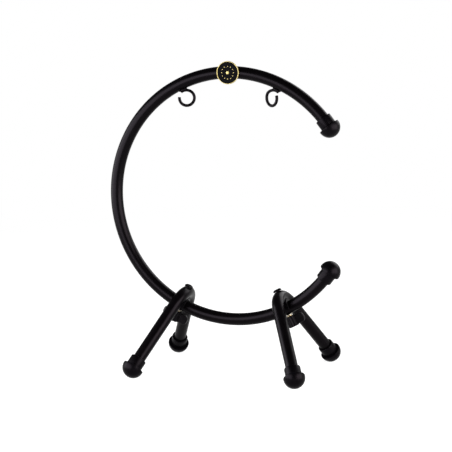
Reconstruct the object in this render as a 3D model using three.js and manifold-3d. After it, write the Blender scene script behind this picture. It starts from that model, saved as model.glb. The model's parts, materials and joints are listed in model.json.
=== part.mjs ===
// Table-top gong stand: an open ring of bent steel tube that carries a gong on two welded hooks.
// Two legs, each one tube bent to a V, straddle the ring near its lowest point. A bolt, a moulded
// saddle and a wing knob clamp each leg to the ring, and rubber caps close every tube end.
// Millimetres, +Z up. The ring lies in the XZ plane, open towards +X, with its front towards -Y.
// The origin is on the floor, under the middle of the stand's bounding box.

import * as THREE from "three";
import { mergeVertices } from "three/addons/utils/BufferGeometryUtils.js";
import Module from "manifold-3d";

// Tube and ring
const tubeDiameter = 25;
const tubeWall = 1.5;
const ringRadius = 250;
const ringEndAngle = 35.2;

// Gaps: between seated pieces, round a bolt in its hole, and the overrun of a cut
const seatGap = 0.3;
const boltHoleGap = 0.5;
const threadGap = 0.25;
const overrun = 5;

// Rubber cap: a half-round dome with a square lip over a sleeve that grips the tube
const domeRadius = 21.7;
const domeRim = 1.4;
const sleeveWall = 3.5;
const sleeveLength = 21.5;
const sleeveChamfer = 1;
const socketPastDome = 2.5;
const footFlatDepth = 0.5;

// Legs: angle of each clamp from the ring's lowest point, half the angle of the V, and how far the
// middle of a foot's dome lies beyond the ring's centreline, measured along the clamp's axis
const clampAngle = 26.8;
const legSplay = 34.3;
const legBendRadius = 50;
const footReach = 123.3;

// Saddle between leg and ring
const saddleLength = 24;
const saddleWall = 5;
const saddleCrown = 1;
const saddleFlank = 4;

// Clamp bolt and its flat washer
const boltDiameter = 8;
const boltEndRoom = 5.3;
const boltHeadDiameter = 18;
const boltHeadHeight = 4.8;
const boltHeadRim = 1.2;
const boltHeadFlat = 4.6;
const boltEndChamfer = 1;
const boltSeatDepth = 0.8;
const hexKeySize = 5;
const hexKeyDepth = 2.4;
const washerDiameter = 16;
const washerThickness = 1.6;

// Wing knob and its threaded insert
const insertDiameter = 11;
const insertLength = 14;
const insertStandout = 1.6;
const hubDiameter = 22;
const hubHeight = 23;
const hubFloor = 2.6;
const fluteCount = 8;
const fluteDepth = 1.4;
const wingSpan = 56;
const wingHeight = 20;
const wingThickness = 7;
const wingCorner = 8;
const wingInset = 1.5;

// Hooks: wire loops welded under the top of the ring. Each loop stands upright with its outer side
// twisted forward. Angles along the wire are taken from the loop's top, outwards, and where the wire
// starts it is set back from the loop's plane, so that it lies along the tube.
const leftHookAngle = 24.6;
const rightHookAngle = 23.8;
const leftHookEndAngle = 82.5;
const rightHookEndAngle = 69.7;
const hookStartAngle = 42.9;
const hookBendEndAngle = -60;
const hookTwist = 31.9;
const hookSetback = 7.7;
const hookForward = 5.4;
const hookWireDiameter = 6;
const hookLoopRadius = 15.35;
const hookTubeGap = 0.75;
const weldLength = 18;
const weldWidth = 11;
const weldFootWidth = 7.6;

// Round badge on the front of the ring's top
const badgeDiameter = 46;
const badgeBase = 1.2;
const badgeRimWidth = 1.4;
const badgeRimHeight = 1.2;
const badgeFaceThickness = 0.7;
const badgeFaceCrown = 0.3;
const badgeStandoff = 1.6;
const badgePadWidth = 30;
const badgePadHeight = 17;

// Facets
const tubeSides = 16;
const ringSteps = 48;
const bendSteps = 8;
const saddleSteps = 4;
const wireSides = 8;
const wireSteps = 20;
const roundSides = 16;
const badgeSides = 32;
const domeSteps = 5;
const headSteps = 4;
const cornerSteps = 3;
const flutePoints = 4;

// Sizes worked out from those above
const degrees = THREE.MathUtils.degToRad;
const tubeRadius = tubeDiameter / 2;
const boltRadius = boltDiameter / 2;
const legTopDistance = ringRadius - 2 * tubeRadius - 2 * seatGap - saddleCrown;
const boltSeatDistance = legTopDistance - tubeRadius + boltSeatDepth;
const boltUndersideDistance = boltSeatDistance - seatGap;
const washerDistance = ringRadius + tubeRadius + seatGap;
const insertDistance = washerDistance + washerThickness + seatGap;
const hubDistance = insertDistance + insertStandout;
const blindEndDistance = hubDistance + hubHeight - hubFloor;
const boltEndDistance = blindEndDistance - boltEndRoom;
const footDistance = ringRadius + footReach;
const footCentreZ = -footDistance * Math.cos(degrees(clampAngle));
const floorZ = footCentreZ - domeRadius + footFlatDepth;

// Finishes
const powderCoat = { color: 0x1c1a1b, roughness: 0.42, metalness: 0.35 };
const blackenedSteel = { color: 0x1c1a1b, roughness: 0.5, metalness: 0.4 };
const rubber = { color: 0x17171a, roughness: 0.6, metalness: 0 };
const mouldedPlastic = { color: 0x1d1d20, roughness: 0.5, metalness: 0 };
const brass = { color: 0xb28a3e, roughness: 0.35, metalness: 0.9 };
const goldPlate = { color: 0xc9a24a, roughness: 0.3, metalness: 1 };
const zincPlate = { color: 0x9a9da1, roughness: 0.35, metalness: 0.9 };
const glossEnamel = { color: 0x0b0b0c, roughness: 0.15, metalness: 0 };
const foamTape = { color: 0x111112, roughness: 0.9, metalness: 0 };

const wasm = await Module();
wasm.setup();

// A curve that is known at its stations, so an extrusion along it has one ring of points at each
class StationCurve extends THREE.Curve {
  constructor(stations) {
    super();
    this.stations = stations;
  }

  stationAt(share) {
    return this.stations[Math.round(share * (this.stations.length - 1))];
  }

  getPointAt(share) {
    return this.stationAt(share).point.clone();
  }

  getTangentAt(share) {
    return this.stationAt(share).tangent.clone();
  }
}

function toSolid(geometry) {
  const bare = geometry.clone();
  bare.deleteAttribute("normal");
  bare.deleteAttribute("uv");
  const merged = mergeVertices(bare);
  const corners = merged.index.array;
  const kept = [];
  for (let i = 0; i < corners.length; i += 3) {
    const [a, b, c] = corners.slice(i, i + 3);
    if (a !== b && b !== c && c !== a) {
      kept.push(a, b, c);
    }
  }
  const vertProperties = new Float32Array(merged.attributes.position.array);
  const triVerts = new Uint32Array(kept);
  return new wasm.Manifold(new wasm.Mesh({ numProp: 3, vertProperties, triVerts }));
}

function toGeometry(solid) {
  const mesh = solid.getMesh();
  const geometry = new THREE.BufferGeometry();
  geometry.setAttribute("position", new THREE.BufferAttribute(new Float32Array(mesh.vertProperties), 3));
  geometry.setIndex(new THREE.BufferAttribute(new Uint32Array(mesh.triVerts), 1));
  geometry.computeVertexNormals();
  return geometry;
}

function piece(name, solid, finish) {
  const mesh = new THREE.Mesh(toGeometry(solid), new THREE.MeshStandardMaterial(finish));
  mesh.name = name;
  return mesh;
}

function polygon(radius, sides) {
  const points = [];
  for (let i = 0; i < sides; i += 1) {
    const angle = (2 * Math.PI * i) / sides;
    points.push(new THREE.Vector2(radius * Math.cos(angle), radius * Math.sin(angle)));
  }
  return points;
}

// The lower half of a polygon, from left to right
function halfRound(radius) {
  const points = [];
  for (let i = 0; i <= tubeSides / 2; i += 1) {
    const angle = Math.PI + (2 * Math.PI * i) / tubeSides;
    points.push(new THREE.Vector2(radius * Math.cos(angle), radius * Math.sin(angle)));
  }
  return points;
}

// A rod or, with an inner radius, a tube along a row of stations
function sweep(stations, radius, sides, innerRadius = 0) {
  const section = new THREE.Shape(polygon(radius, sides));
  if (innerRadius > 0) {
    section.holes.push(new THREE.Path(polygon(innerRadius, sides)));
  }
  return sweepSection(stations, section);
}

function sweepSection(stations, section) {
  const extrudePath = new StationCurve(stations);
  return toSolid(new THREE.ExtrudeGeometry(section, { steps: stations.length - 1, extrudePath }));
}

// Turned shape about Z from rows of [radius, height], which run counter-clockwise
function turned(profile, sides = roundSides) {
  const points = profile.map(([radius, height]) => new THREE.Vector2(radius, height));
  return new THREE.LatheGeometry(points, sides).rotateX(Math.PI / 2);
}

// Round rod about Z between two distances measured down from the origin
function rodDown(radius, near, far, sides = roundSides) {
  return toSolid(turned([[0, -far], [radius, -far], [radius, -near], [0, -near]], sides));
}

// Stations along the ring's centreline, by angle from +X
function ringStations(fromAngle, toAngle, steps) {
  const stations = [];
  for (let i = 0; i <= steps; i += 1) {
    const angle = fromAngle + ((toAngle - fromAngle) * i) / steps;
    stations.push({
      point: new THREE.Vector3(ringRadius * Math.cos(angle), 0, ringRadius * Math.sin(angle)),
      tangent: new THREE.Vector3(-Math.sin(angle), 0, Math.cos(angle)),
    });
  }
  return stations;
}

// The ring tube's own stations, with each end lengthened
function ringTubeStations(lengthening) {
  const endAngle = degrees(ringEndAngle) - (socketPastDome - seatGap + lengthening) / ringRadius;
  return ringStations(endAngle, 2 * Math.PI - endAngle, ringSteps);
}

// The ring's stations under a saddle, in a clamp's frame, whose -Z points from the ring's centre
// to the clamp
function saddleStations() {
  const middleAngle = 1.5 * Math.PI;
  const half = saddleLength / 2 / ringRadius;
  return ringStations(middleAngle - half, middleAngle + half, saddleSteps);
}

// A leg's stations in its clamp's frame, with each end lengthened
function legStations(lengthening) {
  const splay = degrees(legSplay);
  const bendHalf = Math.PI / 2 - splay;
  const bendCentre = new THREE.Vector3(0, 0, -legTopDistance - legBendRadius);
  const stations = [];
  for (let i = 0; i <= bendSteps; i += 1) {
    const angle = bendHalf * ((2 * i) / bendSteps - 1);
    const offset = new THREE.Vector3(0, legBendRadius * Math.sin(angle), legBendRadius * Math.cos(angle));
    stations.push({
      point: offset.add(bendCentre),
      tangent: new THREE.Vector3(0, Math.cos(angle), -Math.sin(angle)),
    });
  }
  const pastDome = socketPastDome - seatGap + lengthening;
  const last = stations[bendSteps];
  const first = stations[0];
  const straight = (footDistance + last.point.z) / Math.cos(splay) + pastDome;
  stations.push({
    point: last.point.clone().addScaledVector(last.tangent, straight),
    tangent: last.tangent,
  });
  stations.unshift({
    point: first.point.clone().addScaledVector(first.tangent, -straight),
    tangent: first.tangent,
  });
  return stations;
}

// The solid round cap, before its socket is cut, with its dome's centre and axis as given
function capBlank(centre, axis) {
  const sleeveRadius = tubeRadius + seatGap + sleeveWall;
  const profile = [
    [0, -sleeveLength],
    [sleeveRadius - sleeveChamfer, -sleeveLength],
    [sleeveRadius, -sleeveLength + sleeveChamfer],
    [sleeveRadius, -domeRim],
    [domeRadius, -domeRim],
  ];
  for (let i = 0; i <= domeSteps; i += 1) {
    const angle = (Math.PI / 2) * (i / domeSteps);
    profile.push([i === domeSteps ? 0 : domeRadius * Math.cos(angle), domeRadius * Math.sin(angle)]);
  }
  const geometry = turned(profile);
  const turn = new THREE.Quaternion().setFromUnitVectors(new THREE.Vector3(0, 0, 1), axis);
  geometry.applyQuaternion(turn);
  geometry.translate(centre.x, centre.y, centre.z);
  return toSolid(geometry);
}

function ringTube() {
  let tube = sweep(ringTubeStations(0), tubeRadius, tubeSides, tubeRadius - tubeWall);
  for (const side of [-1, 1]) {
    tube = tube.subtract(toSolid(boltHole().rotateY(-side * degrees(clampAngle))));
  }
  return piece("ring_tube", tube, powderCoat);
}

// The room that the ring tube takes up, seen in a frame that is turned about Y by the angle given
function ringRoom(turn) {
  const room = sweep(ringTubeStations(seatGap), tubeRadius + seatGap, tubeSides);
  return toSolid(toGeometry(room).rotateY(-turn));
}

function boltHole() {
  const radius = boltRadius + boltHoleGap;
  const near = legTopDistance - 2 * tubeRadius;
  const far = ringRadius + tubeRadius + overrun;
  return turned([[0, -far], [radius, -far], [radius, -near], [0, -near]]);
}

function ringCap(name, endSign) {
  const domeAngle = endSign * degrees(ringEndAngle);
  const mouthAngle = domeAngle + (endSign * sleeveLength) / ringRadius;
  const centre = new THREE.Vector3(Math.cos(domeAngle), 0, Math.sin(domeAngle)).multiplyScalar(ringRadius);
  const mouth = new THREE.Vector3(Math.cos(mouthAngle), 0, Math.sin(mouthAngle)).multiplyScalar(ringRadius);
  const cap = capBlank(centre, centre.clone().sub(mouth).normalize()).subtract(ringRoom(0));
  return piece(name, cap, rubber);
}

function leg(name) {
  const seatRadius = boltHeadDiameter / 2 + boltHoleGap;
  const seat = rodDown(seatRadius, boltSeatDistance - overrun, boltSeatDistance);
  const tube = sweep(legStations(0), tubeRadius, tubeSides, tubeRadius - tubeWall);
  return piece(name, tube.subtract(toSolid(boltHole())).subtract(seat), powderCoat);
}

// Everything below the floor, seen in the frame of the clamp on that side
function floorSlab(side) {
  const slab = new THREE.BoxGeometry(4 * ringRadius, 4 * ringRadius, 2 * domeRadius);
  slab.translate(0, 0, floorZ - domeRadius);
  return toSolid(slab.rotateY(side * degrees(clampAngle)));
}

function footCap(name, side, ySign) {
  const stations = legStations(0);
  const end = ySign > 0 ? stations[stations.length - 1] : stations[0];
  const axis = end.tangent.clone().multiplyScalar(ySign);
  const centre = end.point.clone().addScaledVector(axis, seatGap - socketPastDome);
  const socket = sweep(legStations(seatGap), tubeRadius + seatGap, tubeSides);
  const cap = capBlank(centre, axis).subtract(socket).subtract(floorSlab(side));
  return piece(name, cap, rubber);
}

// Moulded U that lies over the ring tube, with a bed for the leg across its back
function saddle(name, side) {
  const inner = tubeRadius + seatGap;
  const outer = inner + saddleWall;
  const section = new THREE.Shape([
    new THREE.Vector2(-inner, saddleFlank),
    ...halfRound(inner),
    new THREE.Vector2(inner, saddleFlank),
    new THREE.Vector2(outer, saddleFlank),
    ...halfRound(outer).reverse(),
    new THREE.Vector2(-outer, saddleFlank),
  ]);
  const bed = sweep(legStations(0), tubeRadius + seatGap, tubeSides);
  const solid = sweepSection(saddleStations(), section)
    .subtract(ringRoom(-side * degrees(clampAngle)))
    .subtract(bed)
    .subtract(toSolid(boltHole()));
  return piece(name, solid, mouldedPlastic);
}

// Low dome of the bolt's head, an arc from the top of its rim to its flat middle
function headDome(headRadius, top) {
  const drop = boltHeadHeight - boltHeadRim;
  const spread = headRadius - boltHeadFlat;
  const arcRadius = (spread * spread + drop * drop) / (2 * drop);
  const arcAngle = Math.asin(spread / arcRadius);
  const points = [];
  for (let i = headSteps; i >= 0; i -= 1) {
    const angle = (arcAngle * i) / headSteps;
    points.push([boltHeadFlat + arcRadius * Math.sin(angle), -top - arcRadius * (1 - Math.cos(angle))]);
  }
  return points;
}

function clampBolt(name) {
  const headRadius = boltHeadDiameter / 2;
  const top = boltUndersideDistance - boltHeadHeight;
  const blank = turned([
    [0, -boltEndDistance],
    [boltRadius - boltEndChamfer, -boltEndDistance],
    [boltRadius, -boltEndDistance + boltEndChamfer],
    [boltRadius, -boltUndersideDistance],
    [headRadius, -boltUndersideDistance],
    ...headDome(headRadius, top),
    [0, -top],
  ]);
  const hexRadius = hexKeySize / 2 / Math.cos(Math.PI / 6);
  const hexSocket = rodDown(hexRadius, top - overrun, top + hexKeyDepth, 6);
  return piece(name, toSolid(blank).subtract(hexSocket), blackenedSteel);
}

function washer(name) {
  const disc = rodDown(washerDiameter / 2, washerDistance, washerDistance + washerThickness);
  const hole = rodDown(boltRadius + boltHoleGap, washerDistance - overrun, washerDistance + overrun);
  return piece(name, disc.subtract(hole), zincPlate);
}

function wingKnob(name) {
  const hub = new THREE.Shape();
  const count = fluteCount * flutePoints;
  const rim = [];
  for (let i = 0; i < count; i += 1) {
    const angle = (2 * Math.PI * i) / count;
    const radius = hubDiameter / 2 - (fluteDepth / 2) * (1 - Math.cos(fluteCount * angle));
    rim.push(new THREE.Vector2(radius * Math.cos(angle), radius * Math.sin(angle)));
  }
  hub.setFromPoints(rim);
  const hubGeometry = new THREE.ExtrudeGeometry(hub, { depth: hubHeight, bevelEnabled: false });
  hubGeometry.translate(0, 0, -hubDistance - hubHeight);
  const insertSeat = insertDistance + insertLength + seatGap;
  const knob = toSolid(hubGeometry)
    .add(wings())
    .subtract(rodDown(insertDiameter / 2 + seatGap, hubDistance - overrun, insertSeat))
    .subtract(rodDown(boltRadius + boltHoleGap, insertSeat - overrun, blindEndDistance));
  return piece(name, knob, mouldedPlastic);
}

// Both wings as one slab with rounded corners, through the hub's axis
function wings() {
  const outline = new THREE.Shape();
  const x = wingSpan / 2 - wingCorner;
  const top = -hubDistance - wingInset - wingCorner;
  const bottom = -hubDistance - wingInset - wingHeight + wingCorner;
  outline.absarc(x, bottom, wingCorner, -Math.PI / 2, 0);
  outline.absarc(x, top, wingCorner, 0, Math.PI / 2);
  outline.absarc(-x, top, wingCorner, Math.PI / 2, Math.PI);
  outline.absarc(-x, bottom, wingCorner, Math.PI, 1.5 * Math.PI);
  const options = { depth: wingThickness, bevelEnabled: false, curveSegments: cornerSteps };
  const slab = new THREE.ExtrudeGeometry(outline, options);
  slab.rotateX(Math.PI / 2);
  slab.translate(0, wingThickness / 2, 0);
  return toSolid(slab);
}

function threadedInsert(name) {
  const end = insertDistance + insertLength;
  const body = rodDown(insertDiameter / 2, insertDistance, end);
  const bore = rodDown(boltRadius + threadGap, insertDistance - overrun, end + overrun);
  return piece(name, body.subtract(bore), brass);
}

// One leg with its feet and everything on its bolt; side is -1 for left and 1 for right
function clampAssembly(word, side) {
  const group = new THREE.Group();
  group.rotation.y = -side * degrees(clampAngle);
  group.add(leg(`leg_${word}`));
  group.add(footCap(`foot_cap_${word}_front`, side, -1));
  group.add(footCap(`foot_cap_${word}_back`, side, 1));
  group.add(saddle(`saddle_${word}`, side));
  group.add(clampBolt(`clamp_bolt_${word}`));
  group.add(washer(`knob_washer_${word}`));
  group.add(wingKnob(`wing_knob_${word}`));
  group.add(threadedInsert(`knob_insert_${word}`));
  return group;
}

// A point of a hook's wire, by its angle from the loop's top
function wirePoint(side, centre, angle) {
  const twist = degrees(hookTwist);
  const outwards = new THREE.Vector3(side * Math.cos(twist), -Math.sin(twist), 0);
  const backwards = new THREE.Vector3(side * Math.sin(twist), Math.cos(twist), 0);
  const bendShare = THREE.MathUtils.smoothstep(angle, hookBendEndAngle, hookStartAngle);
  const point = centre.clone();
  point.addScaledVector(outwards, hookLoopRadius * Math.sin(degrees(angle)));
  point.addScaledVector(backwards, hookSetback * bendShare);
  point.z += hookLoopRadius * Math.cos(degrees(angle));
  return point;
}

// Stations from the wire's start under the tube, inwards and down round the loop, to its open end
function wireStations(side, centre, endAngle) {
  const sweepAngle = 360 + hookStartAngle - endAngle;
  const points = [];
  for (let i = -1; i <= wireSteps + 1; i += 1) {
    points.push(wirePoint(side, centre, hookStartAngle - (sweepAngle * i) / wireSteps));
  }
  return points.slice(1, -1).map((point, i) => {
    return { point, tangent: points[i + 2].clone().sub(points[i]).normalize() };
  });
}

// Weld that flares from the wire to the tube, around a point of the wire
function hookWeld(point) {
  const weld = turned([
    [0, Math.hypot(point.x, point.z)],
    [weldFootWidth / 2, Math.hypot(point.x, point.z)],
    [weldWidth / 2, ringRadius - tubeRadius],
    [weldWidth / 2, ringRadius],
    [0, ringRadius],
  ]);
  weld.scale(weldLength / weldWidth, 1, 1);
  weld.translate(0, point.y, 0);
  return toSolid(weld.rotateY(Math.atan2(point.x, point.z)));
}

function hook(name, side, hookAngle, endAngle) {
  const lean = side * degrees(hookAngle);
  const wireRadius = hookWireDiameter / 2;
  const loopDistance = ringRadius - tubeRadius - hookTubeGap - wireRadius - hookLoopRadius;
  const centre = new THREE.Vector3(Math.sin(lean), 0, Math.cos(lean)).multiplyScalar(loopDistance);
  centre.y = -hookForward;
  const solid = sweep(wireStations(side, centre, endAngle), wireRadius, wireSides)
    .add(hookWeld(wirePoint(side, centre, hookStartAngle / 2)))
    .subtract(ringRoom(0));
  return piece(name, solid, powderCoat);
}

// Badge in a frame whose +Z points out of its face, with its back at zero
function badgeAssembly() {
  const group = new THREE.Group();
  const radius = badgeDiameter / 2;
  const panRadius = radius - badgeRimWidth;
  const plate = toSolid(turned([
    [0, 0],
    [radius, 0],
    [radius, badgeBase + badgeRimHeight],
    [panRadius, badgeBase + badgeRimHeight],
    [panRadius, badgeBase],
    [0, badgeBase],
  ], badgeSides));
  const faceRadius = panRadius - seatGap;
  const faceBack = badgeBase + seatGap;
  const face = toSolid(turned([
    [0, faceBack],
    [faceRadius, faceBack],
    [faceRadius, faceBack + badgeFaceThickness],
    [0, faceBack + badgeFaceThickness + badgeFaceCrown],
  ], badgeSides));
  group.add(piece("badge_plate", plate, goldPlate));
  group.add(piece("badge_face", face, glossEnamel));
  group.add(badgePad());
  group.rotation.x = Math.PI / 2;
  group.position.set(0, -tubeRadius - badgeStandoff, ringRadius);
  return group;
}

// Adhesive pad with a flat front and a back that fits the tube
function badgePad() {
  const depth = badgeStandoff + tubeRadius;
  const block = new THREE.BoxGeometry(badgePadWidth, badgePadHeight, depth - seatGap);
  block.translate(0, 0, -(depth + seatGap) / 2);
  const tubeRoom = toGeometry(ringRoom(0));
  tubeRoom.translate(0, 0, -ringRadius);
  tubeRoom.rotateX(-Math.PI / 2);
  tubeRoom.translate(0, 0, -depth);
  return piece("badge_pad", toSolid(block).subtract(toSolid(tubeRoom)), foamTape);
}

const stand = new THREE.Group();
stand.add(ringTube());
stand.add(ringCap("ring_cap_upper", 1));
stand.add(ringCap("ring_cap_lower", -1));
stand.add(hook("hook_left", -1, leftHookAngle, leftHookEndAngle));
stand.add(hook("hook_right", 1, rightHookAngle, rightHookEndAngle));
stand.add(badgeAssembly());
stand.add(clampAssembly("left", -1));
stand.add(clampAssembly("right", 1));

const box = new THREE.Box3().setFromObject(stand, true);
stand.position.set(-(box.min.x + box.max.x) / 2, -(box.min.y + box.max.y) / 2, -box.min.z);

const gongStand = new THREE.Group();
gongStand.add(stand);
export default gongStand;
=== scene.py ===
import json
import math

import bmesh
import bpy
from mathutils import Matrix, Vector


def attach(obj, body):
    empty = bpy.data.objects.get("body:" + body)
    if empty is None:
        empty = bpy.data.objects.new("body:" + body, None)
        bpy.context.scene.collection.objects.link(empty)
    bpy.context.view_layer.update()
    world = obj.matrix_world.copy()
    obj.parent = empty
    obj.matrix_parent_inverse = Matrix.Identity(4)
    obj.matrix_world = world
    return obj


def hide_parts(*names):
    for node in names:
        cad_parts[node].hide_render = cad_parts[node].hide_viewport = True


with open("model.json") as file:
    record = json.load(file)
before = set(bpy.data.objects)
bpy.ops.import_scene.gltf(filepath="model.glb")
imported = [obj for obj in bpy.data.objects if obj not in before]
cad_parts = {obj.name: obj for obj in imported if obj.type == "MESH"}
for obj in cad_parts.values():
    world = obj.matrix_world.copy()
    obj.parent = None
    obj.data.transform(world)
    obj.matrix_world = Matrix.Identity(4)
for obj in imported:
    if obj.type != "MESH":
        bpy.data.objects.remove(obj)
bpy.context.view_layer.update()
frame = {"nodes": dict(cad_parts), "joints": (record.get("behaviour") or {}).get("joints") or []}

mm = 0.001
print("frame loaded:", len(frame["nodes"]), "nodes")


# Node trees, for finishes and for Geometry Nodes

class Wire:  # one output socket, so that shader maths reads as plain sums
    def __init__(self, graph, socket):
        self.graph = graph
        self.socket = socket

    def __add__(self, other):
        return self.graph.maths("ADD", self, other)

    def __radd__(self, other):
        return self.graph.maths("ADD", other, self)

    def __sub__(self, other):
        return self.graph.maths("SUBTRACT", self, other)

    def __rsub__(self, other):
        return self.graph.maths("SUBTRACT", other, self)

    def __mul__(self, other):
        return self.graph.maths("MULTIPLY", self, other)

    def __rmul__(self, other):
        return self.graph.maths("MULTIPLY", other, self)


class Graph:
    def __init__(self, tree):
        self.tree = tree
        tree.nodes.clear()

    # settings are set before sockets; a list of wires goes into one socket
    def node(self, kind, settings=None, sockets=None, output=0):
        made = self.tree.nodes.new(kind)
        for name, value in (settings or {}).items():
            setattr(made, name, value)
        for name, value in (sockets or {}).items():
            if not isinstance(value, (Wire, list)):
                made.inputs[name].default_value = value
                continue
            for wire in value if isinstance(value, list) else [value]:
                self.tree.links.new(wire.socket, made.inputs[name])
        return Wire(self, made.outputs[output]) if len(made.outputs) else made

    def maths(self, operation, a, b=0.0):
        return self.node("ShaderNodeMath", {"operation": operation}, {0: a, 1: b})

    def spread(self, wire, low, high, outLow=0.0, outHigh=1.0):
        sockets = {"Value": wire, "From Min": low, "From Max": high, "To Min": outLow, "To Max": outHigh}
        return self.node("ShaderNodeMapRange", {"clamp": True}, sockets)

    def blend(self, factor, a, b):
        return self.node("ShaderNodeMix", {"data_type": "RGBA"}, {0: factor, 6: a, 7: b}, output=2)

    def noise(self, place, scale, detail=2.0, roughness=0.5):
        sockets = {"Vector": place, "Scale": scale, "Detail": detail, "Roughness": roughness}
        return self.node("ShaderNodeTexNoise", None, sockets)

    def bump(self, height, distance, strength=1.0, normal=None):
        sockets = {"Height": height, "Distance": distance, "Strength": strength}
        if normal is not None:
            sockets["Normal"] = normal
        return self.node("ShaderNodeBump", None, sockets)

    def objectPlace(self):
        return self.node("ShaderNodeTexCoord", output="Object")

    # a turned piece's own uv: X goes round it, Y along its outline
    def turning(self, direction):
        uv = self.node("ShaderNodeUVMap", {"uv_map": "turning"})
        return self.node("ShaderNodeSeparateXYZ", None, {0: uv}, output=direction)


def finish(name, build, look):
    material = bpy.data.materials.new(name)
    material.use_nodes = True
    graph = Graph(material.node_tree)
    graph.node("ShaderNodeOutputMaterial", None, {"Surface": build(graph, look)})
    return material


# Finishes. Each look has two tones, the noise values between which they change over, and two
# limits of roughness. Scales count features per metre, but ringScale counts rings along the whole
# turned outline, and seamWidth is a share of a turn.

faintPurple = (1.0, 0.86, 1.0, 1)  # of what the black parts reflect
white = (1.0, 1.0, 1.0, 1)
noiseMiddle = (0.3, 0.7)  # most of a noise's values lie between these
quarterTurn = 0.25


def surface(graph, look, tone, rough, normal, metallic=0.0, roughRange=noiseMiddle):
    return graph.node("ShaderNodeBsdfPrincipled", None, {
        "Base Color": graph.blend(tone, *look["tones"]),
        "Metallic": metallic,
        "Roughness": graph.spread(rough, *roughRange, *look["roughness"]),
        "Specular IOR Level": look["specular"],
        "Specular Tint": look["tint"],
        "Normal": normal,
    })


powderCoatLook = {
    "tones": ((0.0004, 0.0003, 0.0004, 1), (0.0009, 0.0007, 0.0009, 1)),
    "toneRange": (0.35, 0.7),
    "roughness": (0.27, 0.31),
    "specular": 0.042,
    "tint": faintPurple,
    "cloudScale": 24,
    "peelScale": 520,
    "peelDepth": 0.006 * mm,
    "grainScale": 2600,
    "grainDepth": 0.006 * mm,
}


def powderCoat(graph, look):
    place = graph.objectPlace()
    cloud = graph.noise(place, look["cloudScale"], detail=4.0, roughness=0.6)
    peel = graph.noise(place, look["peelScale"], detail=1.5)
    grain = graph.noise(place, look["grainScale"], detail=1.0)
    skin = graph.bump(peel, look["peelDepth"])
    skin = graph.bump(grain, look["grainDepth"], strength=0.6, normal=skin)
    tone = graph.spread(cloud, *look["toneRange"])
    return surface(graph, look, tone, cloud * 0.6 + grain * 0.4, skin)


rubberLook = {
    "tones": ((0.0005, 0.0004, 0.0006, 1), (0.0015, 0.0013, 0.0018, 1)),
    "toneRange": (0.45, 0.8),
    "roughness": (0.29, 0.37),
    "specular": 0.038,
    "tint": faintPurple,
    "dustScale": 60,
    "grainScale": 1500,
    "grainDepth": 0.02 * mm,
    "seamWidth": 0.0045,
    "seamDepth": 0.12 * mm,
}


# moulded rubber, with a fine parting line down two opposite sides
def capRubber(graph, look):
    place = graph.objectPlace()
    fromSeam = graph.maths("PINGPONG", graph.turning("X") + quarterTurn, quarterTurn)
    seam = 1 - graph.spread(fromSeam, 0.0, look["seamWidth"])
    dust = graph.noise(place, look["dustScale"], detail=6.0, roughness=0.65)
    grain = graph.noise(place, look["grainScale"], detail=3.0, roughness=0.6)
    skin = graph.bump(grain, look["grainDepth"], strength=0.7)
    skin = graph.bump(seam, look["seamDepth"], strength=0.5, normal=skin)
    tone = graph.spread(dust, *look["toneRange"])
    return surface(graph, look, tone, dust * 0.5 + grain * 0.5, skin)


plasticLook = {
    "tones": ((0.0010, 0.0009, 0.0011, 1), (0.0022, 0.0021, 0.0024, 1)),
    "toneRange": (0.35, 0.75),
    "roughness": (0.36, 0.46),
    "specular": 0.05,
    "tint": faintPurple,
    "cloudScale": 90,
    "grainScale": 1900,
    "grainDepth": 0.016 * mm,
}


def grainedPlastic(graph, look):
    place = graph.objectPlace()
    cloud = graph.noise(place, look["cloudScale"], detail=3.0, roughness=0.6)
    cells = graph.node("ShaderNodeTexVoronoi", {"feature": "SMOOTH_F1"}, {
        "Vector": place, "Scale": look["grainScale"], "Smoothness": 0.6,
    })
    tone = graph.spread(cloud, *look["toneRange"])
    skin = graph.bump(cells, look["grainDepth"], strength=0.8)
    return surface(graph, look, tone, cloud, skin)


oxideLook = {
    "tones": ((0.0006, 0.0006, 0.0006, 1), (0.006, 0.0057, 0.0055, 1)),
    "toneRange": (0.58, 0.72),
    "wornTone": 0.35,
    "wornMetal": 0.5,
    "roughness": (0.34, 0.46),
    "specular": 0.035,
    "tint": faintPurple,
    "rubScale": 420,
    "grainScale": 1700,
    "grainDepth": 0.008 * mm,
}


def blackOxide(graph, look):
    place = graph.objectPlace()
    rub = graph.noise(place, look["rubScale"], detail=5.0, roughness=0.7)
    grain = graph.noise(place, look["grainScale"])
    worn = graph.spread(rub, *look["toneRange"])
    skin = graph.bump(grain, look["grainDepth"], strength=0.8)
    return surface(graph, look, worn * look["wornTone"], rub, skin, metallic=worn * look["wornMetal"])


# turned or plated metals: fine rings that follow the lathe, and a cloudy tone
turnedLook = {"toneRange": (0.3, 0.75), "specular": 0.5, "tint": white, "cloudScale": 240}
brassLook = turnedLook | {
    "tones": ((0.34, 0.27, 0.15, 1), (0.20, 0.15, 0.08, 1)),
    "roughness": (0.34, 0.48),
    "ringScale": 260,
    "ringDepth": 0.01 * mm,
}
zincLook = turnedLook | {
    "tones": ((0.26, 0.24, 0.20, 1), (0.16, 0.145, 0.12, 1)),
    "roughness": (0.38, 0.54),
    "ringScale": 180,
    "ringDepth": 0.01 * mm,
}
goldLook = turnedLook | {
    "tones": ((0.27, 0.22, 0.085, 1), (0.19, 0.155, 0.06, 1)),
    "roughness": (0.34, 0.48),
    "ringScale": 200,
    "ringDepth": 0.004 * mm,
}


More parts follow.
